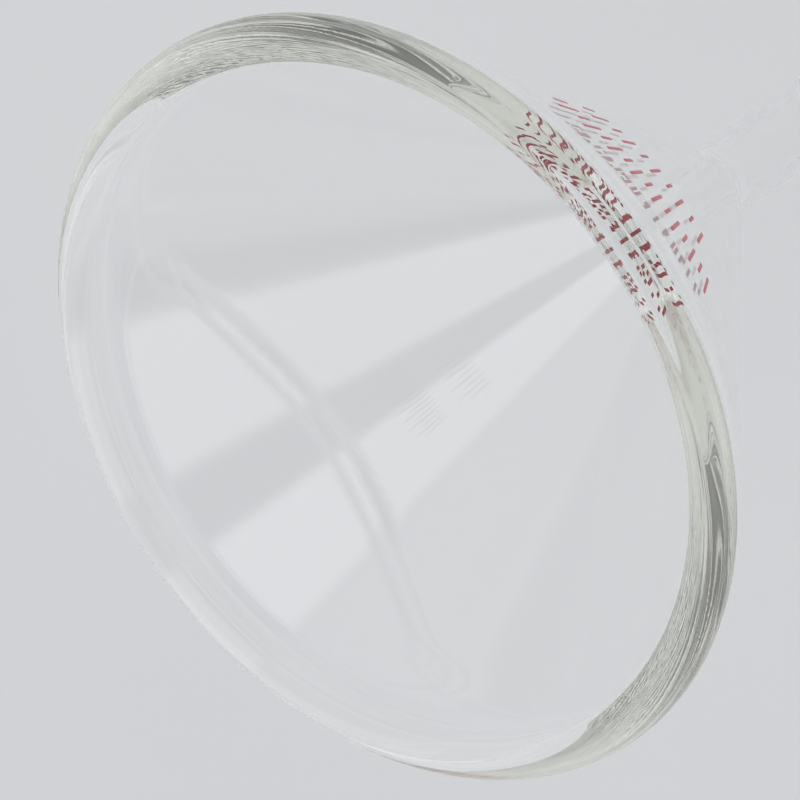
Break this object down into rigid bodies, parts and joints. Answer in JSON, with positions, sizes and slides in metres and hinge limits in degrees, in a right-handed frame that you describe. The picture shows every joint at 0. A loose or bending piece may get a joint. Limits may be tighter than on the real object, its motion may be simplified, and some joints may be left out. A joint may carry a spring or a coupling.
{
  "type": "laboratory filter funnel",
  "caption": "Plain 60 degree conical filter funnel in heavy clear glass, with a fire-polished rim bead, a straight stem and an obliquely cut drip tip.",
  "frame": {"origin": "centre of the stem's top end, on the funnel's axis, where the straight tube begins below the throat", "axes": "+Z along the funnel's axis, from the stem towards the mouth; +X through the printed marks' side, and the drip tip's point is at -X"},
  "size_m": [0.09, 0.09, 0.162],
  "materials": {
    "clear_glass": "clear fire-polished glass with a faint grey-green cast where it is thick",
    "red_enamel": "fired red enamel print, slightly glossy"
  },
  "bodies": {
    "root": {"rim_bead": "clear_glass", "cone_wall": "clear_glass", "throat_seal": "clear_glass", "stem_tube": "clear_glass", "drip_tip": "clear_glass", "enamel_marks_upper": "red_enamel", "enamel_marks_lower": "red_enamel"}
  },
  "joints": []
}
